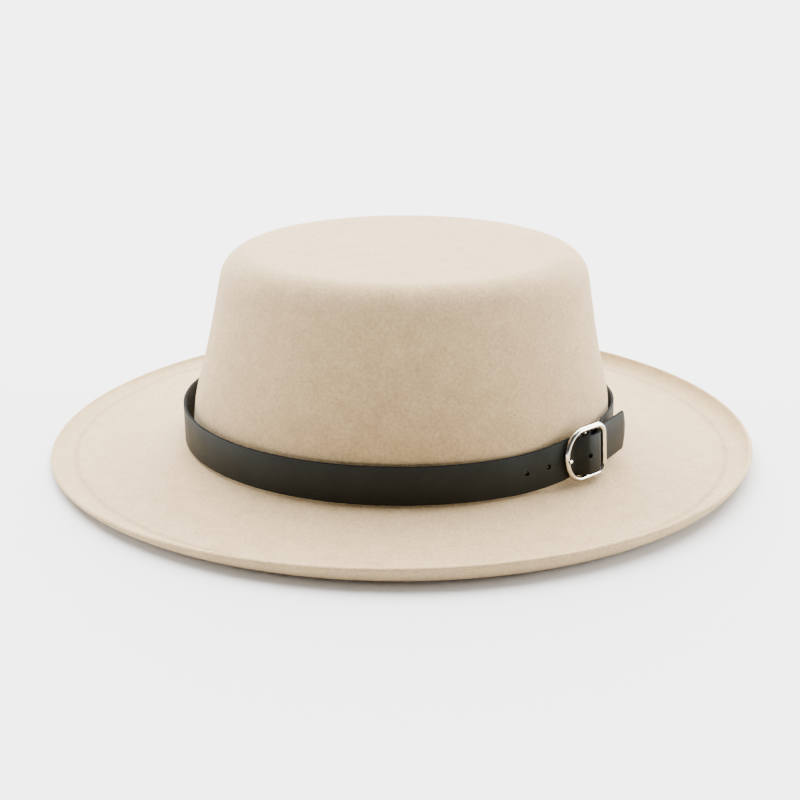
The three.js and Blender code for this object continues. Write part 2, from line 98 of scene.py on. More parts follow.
def crown_rows():
    """The felt's middle in section, as (out from the foot, height), from the top down the wall."""
    rows = []
    flat_end = -CROWN_TAPER - TOP_EDGE_RADIUS
    for ring in range(1, TOP_RINGS + 1):
        out = -FOOT_MEAN + (FOOT_MEAN + flat_end) * ring / TOP_RINGS
        rows.append((out, CROWN_HEIGHT - half_felt))
    wall_angle = math.atan2(CROWN_HEIGHT - TOP_EDGE_RADIUS - brim_root, CROWN_TAPER)
    radius = TOP_EDGE_RADIUS - half_felt
    for ring in range(1, TOP_EDGE_RINGS + 1):
        angle = wall_angle * ring / TOP_EDGE_RINGS
        height = CROWN_HEIGHT - TOP_EDGE_RADIUS + radius * math.cos(angle)
        rows.append((flat_end + radius * math.sin(angle), height))
    return rows


def foot_rows(wall_top):
    """The wall flares down to the band's height, stands upright behind it, and bends out below."""
    wall = [
        Vector((
            -half_felt + inset * (wall_top[0] + half_felt),
            wall_top[1] + down * (brim_root - wall_top[1]),
        ))
        for down, inset in WALL_LINE
    ]
    wall_slope = math.atan2(wall[-1].y - brim_root, -half_felt - wall[-1].x)
    bend = wall_slope - math.atan2(2 * BRIM_DROP, rest_inner)
    radius = FOOT_RADIUS + half_felt
    reach = radius * math.tan(bend / 2)
    end = (-half_felt - reach * math.cos(wall_slope), brim_root + reach * math.sin(wall_slope))
    wall.append(Vector(end))
    points = [2 * wall[0] - wall[1], *wall, 2 * wall[-1] - wall[-2]]
    rows = []
    # A smooth curve through the wall's points, each with its neighbours' direction
    for before, a, b, after in zip(points, points[1:], points[2:], points[3:]):
        for share in (0.5, 1):
            leave_a = (b - before) / 2
            reach_b = (after - a) / 2
            spot = a * (1 - share) ** 2 * (1 + 2 * share) + b * share**2 * (3 - 2 * share)
            spot += leave_a * share * (1 - share) ** 2 - reach_b * share**2 * (1 - share)
            rows.append((spot.x, spot.y))
    center = (end[0] + radius * math.sin(wall_slope), end[1] + radius * math.cos(wall_slope))
    for ring in range(1, FOOT_RINGS + 1):
        slope = wall_slope - bend * ring / FOOT_RINGS
        rows.append((center[0] - radius * math.sin(slope), center[1] - radius * math.cos(slope)))
    return rows


def brim_rows(start):
    """The brim's fall to its rest ring, as (out, height)."""
    rows = []
    for ring in range(1, BRIM_RINGS + 1):
        out = start[0] + (rest_inner - start[0]) * ring / BRIM_RINGS
        rest = 1 - ring / BRIM_RINGS
        rows.append((out, half_felt + (start[1] - half_felt) * rest * rest))
    rows.append((rest_inner + REST_RING / 2, half_felt))
    rows.append((rest_outer, half_felt))
    return rows


def curl_rows():
    """The curled edge, as (out, share of the curl's height). Its slope grows with the square."""
    out = 0.0
    height = 0.0
    path = [(out, height)]
    for step in range(CURL_FINE_STEPS):
        slope = CURL_END_ANGLE * ((step + 0.5) / CURL_FINE_STEPS) ** 2
        out += math.cos(slope)
        height += math.sin(slope)
        path.append((out, height))
    rows = []
    for ring in range(1, CURL_RINGS + 1):
        at = path[CURL_FINE_STEPS * ring // CURL_RINGS]
        rows.append((rest_outer + at[0] * CURL_WIDTH / out, at[1] / height))
    return rows


def curl_height(turn):
    """How high the edge stands over the rest ring at a turn round the brim."""
    at_ends = (CURL_RIGHT + CURL_LEFT) / 2
    at_sides = (CURL_FRONT + CURL_BACK) / 2
    tilt = (CURL_RIGHT - CURL_LEFT) / 2 * math.cos(turn)
    tilt += (CURL_BACK - CURL_FRONT) / 2 * math.sin(turn)
    return (at_ends + at_sides) / 2 + tilt + (at_ends - at_sides) / 2 * math.cos(2 * turn)


def half_axes(out):
    """Half length and half width of the felt's oval at a step out from the crown's foot."""
    share = 1 + min(out, 0) / FOOT_MEAN
    brim = max(out, 0) / BRIM_MEAN
    return (
        (FOOT_LENGTH * share + BRIM_ENDS * brim) * MM,
        (FOOT_WIDTH * share + BRIM_SIDES * brim) * MM,
    )


def crown_lean(height):
    """How far the crown's axis stands to the right of its foot at a height."""
    return CROWN_LEAN * max(0, (height - brim_root) / (CROWN_HEIGHT - brim_root)) * MM


def edit_with(piece, chosen):
    """Opens a piece in edit mode with only the chosen points selected."""
    bpy.ops.object.mode_set(mode="EDIT")
    bpy.ops.mesh.select_mode(type="VERT")
    bpy.ops.mesh.select_all(action="DESELECT")
    bpy.ops.object.mode_set(mode="OBJECT")
    for point in piece.data.vertices:
        point.select = chosen(point)
    bpy.ops.object.mode_set(mode="EDIT")


def finish_with(kind, name, **values):
    """Adds a modifier to the active piece, sets it and applies it."""
    modifier = bpy.context.object.modifiers.new(name, kind)
    for key, value in values.items():
        setattr(modifier, key, value)
    bpy.ops.object.modifier_apply(modifier=name)


fall = crown_rows()
fall += foot_rows(fall[-1])
fall += brim_rows(fall[-1])
curl = curl_rows()
mean_curl = (CURL_RIGHT + CURL_LEFT + CURL_FRONT + CURL_BACK) / 4
rows = fall + [(out, half_felt + mean_curl * share) for out, share in curl]

out, height = rows[0]
bpy.ops.object.select_all(action="DESELECT")
bpy.ops.mesh.primitive_circle_add(
    vertices=FELT_AROUND,
    radius=1,
    fill_type="TRIFAN",
    location=(crown_lean(height), 0, height * MM),
)
felt = bpy.context.object
felt.name = "felt_hood"
felt.scale = (*half_axes(out), 1)
bpy.ops.object.transform_apply()
# The fan's middle point stays behind when its rim is drawn out
near_rim = half_axes(out)[1] ** 2 * 0.9
edit_with(felt, lambda v: (v.co.x - crown_lean(height)) ** 2 + v.co.y**2 > near_rim)
for (out, height), (next_out, next_height) in zip(rows, rows[1:]):
    a, b = half_axes(out)
    next_a, next_b = half_axes(next_out)
    move = (crown_lean(next_height) - crown_lean(height), 0, (next_height - height) * MM)
    bpy.ops.mesh.extrude_region_move(TRANSFORM_OT_translate={"value": move})
    bpy.ops.transform.resize(
        value=(next_a / a, next_b / b, 1),
        center_override=(crown_lean(next_height), 0, next_height * MM),
    )
bpy.ops.object.mode_set(mode="OBJECT")

# The edge curls up most at the front and least at the left
first_curl_point = len(felt.data.vertices) - len(curl) * FELT_AROUND
for row, (out, share) in enumerate(curl):
    a, b = half_axes(out)
    for i in range(FELT_AROUND):
        point = felt.data.vertices[first_curl_point + row * FELT_AROUND + i]
        turn = math.atan2(point.co.y / b, point.co.x / a)
        point.co.z += share * (curl_height(turn) - mean_curl) * MM

finish_with(
    "SOLIDIFY", "felt sheet", thickness=FELT_THICKNESS * MM, offset=0, use_even_offset=True
)
finish_with(
    "BEVEL",
    "rounded cut edge",
    width=FELT_EDGE * MM,
    segments=3,
    limit_method="ANGLE",
    angle_limit=SHARP_CORNER,
    use_clamp_overlap=False,
)
finish_with("SUBSURF", "steamed smooth", levels=1, render_levels=1)
bpy.ops.object.shade_smooth()


# Nearly all of the mottle's values lie between these
MOTTLE_LOW = 0.3
MOTTLE_HIGH = 0.7


def grain_group():
    """Fine grain and soft mottle over a surface, for felt, leather and metal alike."""
    group = bpy.data.node_groups.new("Grain and mottle", "ShaderNodeTree")
    sockets = [
        ("Vector", "INPUT", "NodeSocketVector"),
        ("Mottle Scale", "INPUT", "NodeSocketFloat"),
        ("Grain Scale", "INPUT", "NodeSocketFloat"),
        ("Mottle", "OUTPUT", "NodeSocketFloat"),
        ("Grain", "OUTPUT", "NodeSocketFloat"),
    ]
    for name, way, kind in sockets:
        group.interface.new_socket(name, in_out=way, socket_type=kind)
    start = group.nodes.new("NodeGroupInput")
    end = group.nodes.new("NodeGroupOutput")
    mottle = group.nodes.new("ShaderNodeTexNoise")
    mottle.inputs["Detail"].default_value = 4
    mottle.inputs["Roughness"].default_value = 0.6
    grain = group.nodes.new("ShaderNodeTexNoise")
    grain.inputs["Detail"].default_value = 5
    grain.inputs["Roughness"].default_value = 0.75
    for noise, scale, out in ((mottle, "Mottle Scale", "Mottle"), (grain, "Grain Scale", "Grain")):
        group.links.new(start.outputs["Vector"], noise.inputs["Vector"])
        group.links.new(start.outputs[scale], noise.inputs["Scale"])
        group.links.new(noise.outputs["Fac"], end.inputs[out])
    return group


grain_and_mottle = grain_group()


def new_material(name, mottle_scale, grain_scale):
    """A material with its shader and the grain group on the piece's own coordinates."""
    material = bpy.data.materials.new(name)
    material.use_nodes = True
    nodes = material.node_tree.nodes
    shader = nodes["Principled BSDF"]
    place = nodes.new("ShaderNodeTexCoord")
    surface = nodes.new("ShaderNodeGroup")
    surface.node_tree = grain_and_mottle
    surface.inputs["Mottle Scale"].default_value = mottle_scale
    surface.inputs["Grain Scale"].default_value = grain_scale
    material.node_tree.links.new(place.outputs["Object"], surface.inputs["Vector"])
    return material, shader, surface, place


def blend_colors(material, factor, colors):
    """A colour ramp from (place, colour) steps, driven by a value."""
    ramp = material.node_tree.nodes.new("ShaderNodeValToRGB")
    while len(ramp.color_ramp.elements) < len(colors):
        ramp.color_ramp.elements.new(0.5)
    for element, (place, color) in zip(ramp.color_ramp.elements, colors):
        element.position = place
        element.color = (*color, 1)
    material.node_tree.links.new(factor, ramp.inputs["Fac"])
    return ramp.outputs["Color"]


def multiply_colors(material, first, second):
    """The two colours multiplied. A colour mix's sockets are found by number, as names repeat."""
    mix = material.node_tree.nodes.new("ShaderNodeMix")
    mix.data_type = "RGBA"
    mix.blend_type = "MULTIPLY"
    mix.inputs["Factor"].default_value = 1
    material.node_tree.links.new(first, mix.inputs[6])
    material.node_tree.links.new(second, mix.inputs[7])
    return mix.outputs[2]


def map_value(material, value, low, high, new_low, new_high):
    """A value's range stretched to another range."""
    node = material.node_tree.nodes.new("ShaderNodeMapRange")
    node.inputs["From Min"].default_value = low
    node.inputs["From Max"].default_value = high
    node.inputs["To Min"].default_value = new_low
    node.inputs["To Max"].default_value = new_high
    material.node_tree.links.new(value, node.inputs["Value"])
    return node.outputs["Result"]


def bump(material, height, distance, strength):
    """Low relief in the surface, driven by a height."""
    node = material.node_tree.nodes.new("ShaderNodeBump")
    node.inputs["Distance"].default_value = distance
    node.inputs["Strength"].default_value = strength
    material.node_tree.links.new(height, node.inputs["Height"])
    material.node_tree.links.new(
        node.outputs["Normal"], material.node_tree.nodes["Principled BSDF"].inputs["Normal"]
    )


felt_wool, shader, surface, place = new_material("wool_felt", 120, 800)
links = felt_wool.node_tree.links
cloudy = blend_colors(felt_wool, surface.outputs["Mottle"], [
    (MOTTLE_LOW, (0.470, 0.334, 0.174)),
    (MOTTLE_HIGH, (0.540, 0.388, 0.208)),
])
fibres = blend_colors(felt_wool, surface.outputs["Grain"], [
    (0.34, (0.72, 0.70, 0.68)),
    (0.62, (1.0, 1.0, 1.0)),
])
# Painted shade: a faint dark line round the brim where its curl begins stands in for the shade of a
# crease. The oval is scaled to a circle first, small enough for the ramp's places, which end at 1.
crease_place = 0.9
crease_length, crease_width = half_axes(rest_outer + CREASE_IN_CURL)
crease_spread = 0.011
oval = felt_wool.node_tree.nodes.new("ShaderNodeMapping")
oval.inputs["Scale"].default_value = (crease_place / crease_length, crease_place / crease_width, 0)
links.new(place.outputs["Object"], oval.inputs["Vector"])
reach = felt_wool.node_tree.nodes.new("ShaderNodeVectorMath")
reach.operation = "LENGTH"
links.new(oval.outputs["Vector"], reach.inputs[0])
painted_crease_shade = blend_colors(felt_wool, reach.outputs["Value"], [
    (crease_place - crease_spread, (1.0, 1.0, 1.0)),
    (crease_place, (0.76, 0.75, 0.74)),
    (crease_place + crease_spread, (1.0, 1.0, 1.0)),
])
wool_color = multiply_colors(felt_wool, cloudy, fibres)
# The painted crease shade is multiplied into the felt's colour
links.new(multiply_colors(felt_wool, wool_color, painted_crease_shade), shader.inputs["Base Color"])
bump(felt_wool, surface.outputs["Grain"], 0.0004, 0.8)
shader.inputs["Roughness"].default_value = 0.95
shader.inputs["Specular IOR Level"].default_value = 0.15
shader.inputs["Sheen Weight"].default_value = 0.15
shader.inputs["Sheen Roughness"].default_value = 0.5
shader.inputs["Sheen Tint"].default_value = (1.0, 0.94, 0.86, 1)
felt.data.materials.append(felt_wool)
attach(felt, "root")
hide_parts("felt_body")

# Hat band
# One strap of dark smooth leather with plain cut edges and punched holes. Its skived end folds
# round the buckle's bar, and the long end goes round the crown, through the buckle, and out.
BAND_HEIGHT = 17.9
BAND_THICKNESS = 1.2
FOLD_THICKNESS = 0.8
BAND_EDGE = 0.22
BAND_TO_CROWN = 0.9
BAND_SLACK_LEFT = 1.9
BAND_TO_BRIM = 0.6
BAND_LIFT = 2.9
LIFT_NEAR = 20
LIFT_FAR = 80
BAND_SAG_REACH = 34
LEAVE_TURN = 18
ARRIVE_TURN = 34
TAIL_LENGTH = 26
TAIL_CURVE_RADIUS = 200
TAIL_HEADING = 13
TAIL_END_DEPTH = 2.5
HOLE_RADIUS = 1.1
HOLE_PITCH = 11.0
HOLE_COUNT = 4
HOLES_PAST_PRONG = 1
BUCKLE_TURN = -39.1
BUCKLE_SWING = 6
BUCKLE_LEAN = math.radians(5)
BUCKLE_STAND_OFF = 6.1
FRAME_WIDTH = 23.8
FRAME_SIDE_GAP = 1.0
RIM_RADIUS = 1.2
BAR_RADIUS = 0.9
PRONG_RADIUS = 0.45
PRONG_HALF_WIDTH = 0.85
RIM_TO_RAMP = 4.0
GAP = 0.3
CUT_BEYOND = 0.24
# The skiving starts this far before the fold and is at its thinnest a length later
SKIVE_START = 60
SKIVE_LENGTH = 35
# The strap is meshed in steps of this length, and the arc of its tail in a few steps
BAND_STEP = 0.5
TAIL_END_STEPS = 12
# The tail's points, as shares of its length
TAIL_PLACES = (1, 0.8, 0.6, 0.4, 0.2)
# The strap's bulge out over the bar, as (share of the way to the frame's end, share of its rise)
BULGE = ((0.8, 0.1), (0.69, 0.45), (0.52, 0.88), (0.3, 1))
ROUND_STEPS = 34
# The strap's way back in to the buckle, as (share of the turn left, share of the way in)
WAY_IN = ((0.79, 0.12), (0.59, 0.42), (0.38, 0.78))
FOLD_TURNS = (60, 90, 135, 180, 225, 270)
# The last point of a ramp, as a share of its length, so that the path can level out after it
RAMP_LAST = 0.93
# The flap starts a little flatter than the ramp beside it, and ends part of the way along it
FLAP_START_SLOPE = 0.8
FLAP_SHARE = 0.7
PATH_RESOLUTION = 16
# The path's points up to the buckle's round end, where the prong's hole lies
POINTS_TO_PRONG = 20
band_stand_off = BAND_TO_CROWN + BAND_THICKNESS / 2
band_base = FELT_THICKNESS + BRIM_DROP + BAND_TO_BRIM + BAND_HEIGHT / 2
buckle_height = band_base + BAND_LIFT


def oval_point(turn, off):
    """A point beside the foot's oval, seen from above, with the turn in degrees."""
    turn = math.radians(turn)
    return Vector(((FOOT_LENGTH + off) * math.cos(turn), (FOOT_WIDTH + off) * math.sin(turn)))


def band_oval(turn, extra=0):
    """The strap's middle line round the crown, which stands looser at the left end."""
    slack = BAND_SLACK_LEFT * max(0, -math.cos(math.radians(turn))) ** 2
    return oval_point(turn, band_stand_off + slack + extra)


def turned(vector, degrees):
    """A direction seen from above, turned anticlockwise."""
    angle = math.radians(degrees)
    return Vector((
        vector.x * math.cos(angle) - vector.y * math.sin(angle),
        vector.x * math.sin(angle) + vector.y * math.cos(angle),
    ))


seat_turn = math.radians(BUCKLE_TURN)
seat = Vector((math.cos(seat_turn) / FOOT_LENGTH, math.sin(seat_turn) / FOOT_WIDTH)).normalized()
buckle_out = turned(seat, -BUCKLE_SWING)
buckle_along = Vector((-buckle_out.y, buckle_out.x))
buckle_middle = oval_point(BUCKLE_TURN, 0) + seat * BUCKLE_STAND_OFF
frame_half = FRAME_WIDTH / 2
rim_level = -(RIM_RADIUS + GAP + BAND_THICKNESS / 2)
eye_outer = BAR_RADIUS + GAP + 2 * PRONG_RADIUS
hump_level = eye_outer + GAP + BAND_THICKNESS / 2
fold_level = BAR_RADIUS + GAP + FOLD_THICKNESS / 2
ramp_end = frame_half - RIM_RADIUS - RIM_TO_RAMP
prong_hole_along = -frame_half + RIM_RADIUS + HOLE_RADIUS


def at_buckle(along, out):
    """A point at the buckle, seen from above, by its way along the strap and out from the crown."""
    return buckle_middle + buckle_along * along + buckle_out * out


def ramp(level, end):
    """Slope and two places of a straight ramp from the round over the bar down to another level."""
    slope = math.atan2(-end, ramp_end) + math.asin(level / math.hypot(ramp_end, end))
    top = Vector((level * math.sin(slope), level * math.cos(slope)))
    foot = Vector((ramp_end, end))
    return slope, top.lerp(foot, 0.5), top.lerp(foot, RAMP_LAST)


def band_route():
    """The strap's middle line from its free tip to the end of its folded flap, seen from above."""
    route = []
    tail_turn = TAIL_LENGTH / TAIL_CURVE_RADIUS
    for place in TAIL_PLACES:
        angle = place * tail_turn
        chord = 2 * TAIL_CURVE_RADIUS * math.sin(angle / 2)
        heading = -math.radians(TAIL_HEADING) - angle / 2
        across = rim_level + chord * math.sin(heading)
        route.append(at_buckle(frame_half + chord * math.cos(heading), across))
    # Under the straight end, then a bulge that stands out past the bar
    route.append(at_buckle(frame_half + RIM_RADIUS, rim_level))
    route.append(at_buckle(frame_half - RIM_RADIUS, rim_level))
    for reach, height in BULGE:
        out = rim_level + height * (hump_level - rim_level)
        route.append(at_buckle(reach * frame_half, out))
    slope, middle, low = ramp(hump_level, rim_level)
    for share in (0, 0.5, 1):
        angle = share * slope
        route.append(at_buckle(-hump_level * math.sin(angle), hump_level * math.cos(angle)))
    route += [at_buckle(-middle.x, middle.y), at_buckle(-low.x, low.y)]
    route.append(at_buckle(-ramp_end - HOLE_RADIUS, rim_level))
    route.append(at_buckle(prong_hole_along, rim_level))
    route.append(at_buckle(-frame_half - RIM_RADIUS, rim_level - GAP / 2))
    # Once round the crown
    leave = BUCKLE_TURN - LEAVE_TURN
    arrive = BUCKLE_TURN - 360 + ARRIVE_TURN
    for step in range(ROUND_STEPS + 1):
        route.append(band_oval(leave + step / ROUND_STEPS * (arrive - leave)))
    # Back under the tail, round the bar, and a short flap behind it
    fold_inset = BAND_THICKNESS / 2 + GAP + FOLD_THICKNESS / 2
    stand_off = BUCKLE_STAND_OFF + rim_level - fold_inset
    for turn_share, inwards in WAY_IN:
        extra = inwards * (stand_off - band_stand_off)
        route.append(band_oval(BUCKLE_TURN + turn_share * ARRIVE_TURN, extra))
    slope, middle, low = ramp(fold_level, rim_level - fold_inset)
    route.append(at_buckle(frame_half - RIM_RADIUS, rim_level - fold_inset))
    route += [at_buckle(*low), at_buckle(*middle)]
    for angle in FOLD_TURNS:
        turn = math.radians(angle)
        route.append(at_buckle(fold_level * math.cos(turn), fold_level * math.sin(turn)))
    beside = FOLD_THICKNESS + GAP
    low_slope = FLAP_START_SLOPE * slope
    flap_start = at_buckle(
        low.x - beside * math.sin(low_slope), low.y - beside * math.cos(low_slope)
    )
    flap_end = at_buckle(frame_half - RIM_RADIUS, rim_level - fold_inset - beside)
    route += [flap_start, flap_start.lerp(flap_end, FLAP_SHARE)]
    return route


def smooth_step(share):
    """Eases a share from 0 to 1, level at both ends."""
    share = min(1, max(0, share))
    return share * share * (3 - 2 * share)


def nearness(place):
    """How near a place is to the buckle, from 0 far away to 1 close by."""
    return smooth_step((LIFT_FAR - (place - buckle_middle).length) / (LIFT_FAR - LIFT_NEAR))


def band_level(place):
    """The strap's mid height. It is highest at the buckle and sinks sooner beside the prong."""
    sag = smooth_step(1 + (place - buckle_middle).dot(buckle_along) / BAND_SAG_REACH)
    return band_base + BAND_LIFT * min(sag, nearness(place))


def lean_in(piece):
    """Tips a piece in towards the crown with the buckle, less and less further from it."""
    for point in piece.data.vertices:
        place = point.co.xy / MM
        up = point.co.z - buckle_height * MM
        point.co.xy -= buckle_out * up * math.tan(BUCKLE_LEAN) * nearness(place)


bpy.ops.object.select_all(action="DESELECT")
bpy.ops.curve.primitive_bezier_curve_add()
path = bpy.context.object
path.name = "band_path"
spline = path.data.splines[0]
route = band_route()
spline.bezier_points.add(len(route) - 2)
for point, place in zip(spline.bezier_points, route):
    point.co = Vector((place.x, place.y, band_level(place))) * MM
    point.handle_left_type = "AUTO"
    point.handle_right_type = "AUTO"
path.location = (0, 0, 0)
path.data.resolution_u = PATH_RESOLUTION
path.data.twist_mode = "Z_UP"
path.data.use_stretch = False
bpy.context.view_layer.update()
band_length = spline.calc_length()


def run_along(target, last_point):
    """Length of the path up to its place nearest to a point, looking no further than last_point."""
    run = 0.0
    nearest = (1.0, 0.0)
    points = spline.bezier_points
    for a, b in zip(points[:last_point], points[1:]):
        handles = (a.co, a.handle_right, b.handle_left, b.co)
        line = interpolate_bezier(*handles, PATH_RESOLUTION + 1)
        for p, q in zip(line, line[1:]):
            run += (q - p).length
            nearest = min(nearest, ((q.xy - target * MM).length, run))
    return nearest[1]


# The strap is cut flat, punched, and then laid along its path
bpy.ops.object.select_all(action="DESELECT")
flat_length = band_length - TAIL_END_DEPTH * MM
bpy.ops.mesh.primitive_grid_add(
    x_subdivisions=round(flat_length / (BAND_STEP * MM)),
    y_subdivisions=1,
    size=1,
    location=(TAIL_END_DEPTH * MM + flat_length / 2, 0, 0),
    rotation=(math.pi / 2, 0, 0),
)
band = bpy.context.object
band.name = "leather_strap"
band.scale = (flat_length, BAND_HEIGHT * MM, 1)
bpy.ops.object.transform_apply()
# The tail ends in a shallow arc
edit_with(band, lambda v: v.co.x < (TAIL_END_DEPTH + 0.01) * MM)
end_radius = ((BAND_HEIGHT / 2) ** 2 + TAIL_END_DEPTH**2) / (2 * TAIL_END_DEPTH)
end_angle = math.asin(BAND_HEIGHT / 2 / end_radius)
for step in range(1, TAIL_END_STEPS):
    angle = end_angle * (1 - step / TAIL_END_STEPS)
    angle_before = end_angle * (1 - (step - 1) / TAIL_END_STEPS)
    ahead = end_radius * (math.cos(angle) - math.cos(angle_before))
    bpy.ops.mesh.extrude_region_move(TRANSFORM_OT_translate={"value": (-ahead * MM, 0, 0)})
    bpy.ops.transform.resize(
        value=(1, 1, math.sin(angle) / math.sin(angle_before)), center_override=(0, 0, 0)
    )
bpy.ops.mesh.select_all(action="SELECT")
bpy.ops.mesh.normals_make_consistent(inside=False)
bpy.ops.object.mode_set(mode="OBJECT")

# Skived thinner from where it nears the fold
fold_run = run_along(at_buckle(0, -fold_level), len(route)) / MM
skive = band.vertex_groups.new(name="full thickness")
for point in band.data.vertices:
    before_fold = fold_run - point.co.x / MM
    thin = min(1, max(0, (SKIVE_START - before_fold) / SKIVE_LENGTH))
    skive.add([point.index], 1 - thin, "REPLACE")
finish_with(
    "SOLIDIFY",
    "strap thickness",
    thickness=BAND_THICKNESS * MM,
    offset=0,
    vertex_group="full thickness",
    thickness_vertex_group=FOLD_THICKNESS / BAND_THICKNESS,
)
finish_with(
    "BEVEL",
    "broken edges",
    width=BAND_EDGE * MM,
    segments=2,
    limit_method="ANGLE",
    angle_limit=SHARP_CORNER,
    use_clamp_overlap=False,
)
prong_hole_run = run_along(at_buckle(prong_hole_along, rim_level), POINTS_TO_PRONG)
for index in range(HOLE_COUNT):
    run = prong_hole_run + (index - HOLES_PAST_PRONG) * HOLE_PITCH * MM
    bpy.ops.object.select_all(action="DESELECT")
    bpy.ops.mesh.primitive_cylinder_add(
        vertices=32,
        radius=HOLE_RADIUS * MM,
        depth=4 * BAND_THICKNESS * MM,
        location=(run, 0, 0),
        rotation=(math.pi / 2, 0, 0),
    )
    punch = bpy.context.object
    bpy.context.view_layer.objects.active = band
    finish_with("BOOLEAN", "punched hole", object=punch, operation="DIFFERENCE", solver="EXACT")
    bpy.data.objects.remove(punch)
finish_with("CURVE", "laid round the crown", object=path, deform_axis="POS_X")
bpy.data.objects.remove(path)
bpy.ops.object.select_all(action="DESELECT")
bpy.ops.mesh.primitive_cylinder_add(
    vertices=48,
    radius=(eye_outer + CUT_BEYOND) * MM,
    depth=2 * (PRONG_HALF_WIDTH + GAP) * MM,
    location=Vector((buckle_middle.x, buckle_middle.y, buckle_height)) * MM,
)
punch = bpy.context.object
bpy.context.view_layer.objects.active = band
finish_with("BOOLEAN", "slot for the prong", object=punch, operation="DIFFERENCE", solver="EXACT")
bpy.data.objects.remove(punch)
lean_in(band)
band.select_set(True)
bpy.ops.object.shade_smooth_by_angle(angle=math.radians(35))

strap_leather, shader, surface, place = new_material("strap_leather", 60, 1100)
links = strap_leather.node_tree.links
# The cut edges, which face up and down, are dull, and get painted shade that holds down the light
# the top edge catches from the lamp above; the faces have a low sheen
edge_from = 0.4
edge_full = 0.8
facing = strap_leather.node_tree.nodes.new("ShaderNodeSeparateXYZ")
links.new(place.outputs["Normal"], facing.inputs[0])
edge = strap_leather.node_tree.nodes.new("ShaderNodeMath")
edge.operation = "ABSOLUTE"
links.new(facing.outputs["Z"], edge.inputs[0])
dyed = blend_colors(strap_leather, surface.outputs["Mottle"], [
    (MOTTLE_LOW, (0.0088, 0.0106, 0.0096)),
    (MOTTLE_HIGH, (0.0130, 0.0155, 0.0140)),
])
# Painted shade on the cut edges, strongest where they face straight up or down
edge_painted_shade = blend_colors(strap_leather, edge.outputs[0], [
    (edge_from, (1.0, 1.0, 1.0)),
    (edge_full, (0.2, 0.2, 0.2)),
])
links.new(multiply_colors(strap_leather, dyed, edge_painted_shade), shader.inputs["Base Color"])
face_roughness = map_value(
    strap_leather, surface.outputs["Mottle"], MOTTLE_LOW, MOTTLE_HIGH, 0.48, 0.60
)
edge_roughness = map_value(strap_leather, edge.outputs[0], edge_from, edge_full, 0.0, 0.4)
roughness = strap_leather.node_tree.nodes.new("ShaderNodeMath")
links.new(face_roughness, roughness.inputs[0])
links.new(edge_roughness, roughness.inputs[1])
links.new(roughness.outputs[0], shader.inputs["Roughness"])
shader.inputs["Specular IOR Level"].default_value = 0.12
pebbles = strap_leather.node_tree.nodes.new("ShaderNodeTexVoronoi")
pebbles.feature = "SMOOTH_F1"
pebbles.inputs["Scale"].default_value = 1300
links.new(place.outputs["Object"], pebbles.inputs["Vector"])
bump(strap_leather, pebbles.outputs["Distance"], 0.0001, 0.35)
band.data.materials.append(strap_leather)
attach(band, "root")
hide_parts("hat_band")

# Buckle frame
# A D-shaped frame cast in one with its centre bar, nickel plated and polished. The strap's
# folded end holds it by the bar, and it rests over the outer layer of the strap.
ROUND_END_REACH = 9.5
SQUARE_CORNER = 4.5
CORNER_STEPS = 12
ROUND_END_STEPS = 20
frame_height = BAND_HEIGHT + 2 * FRAME_SIDE_GAP + 2 * RIM_RADIUS
bpy.ops.object.select_all(action="DESELECT")
bpy.ops.mesh.primitive_plane_add(size=1, rotation=(math.pi / 2, 0, 0))
buckle = bpy.context.object
buckle.name = "buckle_ring"
buckle.scale = (FRAME_WIDTH * MM, frame_height * MM, 1)
bpy.ops.object.transform_apply()
edit_with(buckle, lambda v: v.co.x > 0)
bpy.ops.mesh.bevel(offset=SQUARE_CORNER * MM, segments=CORNER_STEPS, affect="VERTICES")
bpy.ops.object.mode_set(mode="OBJECT")
edit_with(buckle, lambda v: v.co.x < (-frame_half + 0.01) * MM)
# Just short of half the height, so that the two corners don't meet
bpy.ops.mesh.bevel(
    offset=frame_height / 2 * 0.999 * MM, segments=ROUND_END_STEPS, affect="VERTICES"
)
bpy.ops.object.mode_set(mode="OBJECT")
edit_with(buckle, lambda v: v.co.x < (-frame_half + frame_height / 2 + 0.01) * MM)
bpy.ops.transform.resize(
    value=(ROUND_END_REACH * 2 / frame_height, 1, 1), center_override=(-frame_half * MM, 0, 0)
)
bpy.ops.mesh.select_all(action="SELECT")
bpy.ops.mesh.delete(type="ONLY_FACE")
bpy.ops.object.mode_set(mode="OBJECT")
bpy.ops.object.convert(target="CURVE")
buckle = bpy.context.object
buckle.data.bevel_depth = RIM_RADIUS * MM
buckle.data.bevel_resolution = 6
bpy.ops.object.convert(target="MESH")
buckle = bpy.context.object
bpy.ops.object.select_all(action="DESELECT")
bpy.ops.mesh.primitive_cylinder_add(
    vertices=28, radius=BAR_RADIUS * MM, depth=frame_height * MM
)
bar = bpy.context.object
bpy.context.view_layer.objects.active = buckle
finish_with("BOOLEAN", "cast in one", object=bar, operation="UNION", solver="EXACT")
bpy.data.objects.remove(bar)
bpy.ops.object.select_all(action="DESELECT")
buckle.select_set(True)
buckle.rotation_euler = (0, 0, math.atan2(buckle_along.y, buckle_along.x))
buckle.location = Vector((buckle_middle.x, buckle_middle.y, buckle_height)) * MM
bpy.ops.object.transform_apply()
lean_in(buckle)
bpy.ops.object.shade_smooth_by_angle(angle=math.radians(40))

nickel, shader, surface, _ = new_material("polished_nickel", 500, 4000)
links = nickel.node_tree.links
links.new(
    blend_colors(nickel, surface.outputs["Mottle"], [
        (MOTTLE_LOW, (0.58, 0.56, 0.50)),
        (MOTTLE_HIGH, (0.68, 0.66, 0.60)),
    ]),
    shader.inputs["Base Color"],
)
links.new(
    map_value(nickel, surface.outputs["Mottle"], MOTTLE_LOW, MOTTLE_HIGH, 0.12, 0.24),
    shader.inputs["Roughness"],
)
bump(nickel, surface.outputs["Grain"], 0.00002, 0.2)
shader.inputs["Metallic"].default_value = 1
buckle.data.materials.append(nickel)
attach(buckle, "root")
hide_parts("buckle_frame")

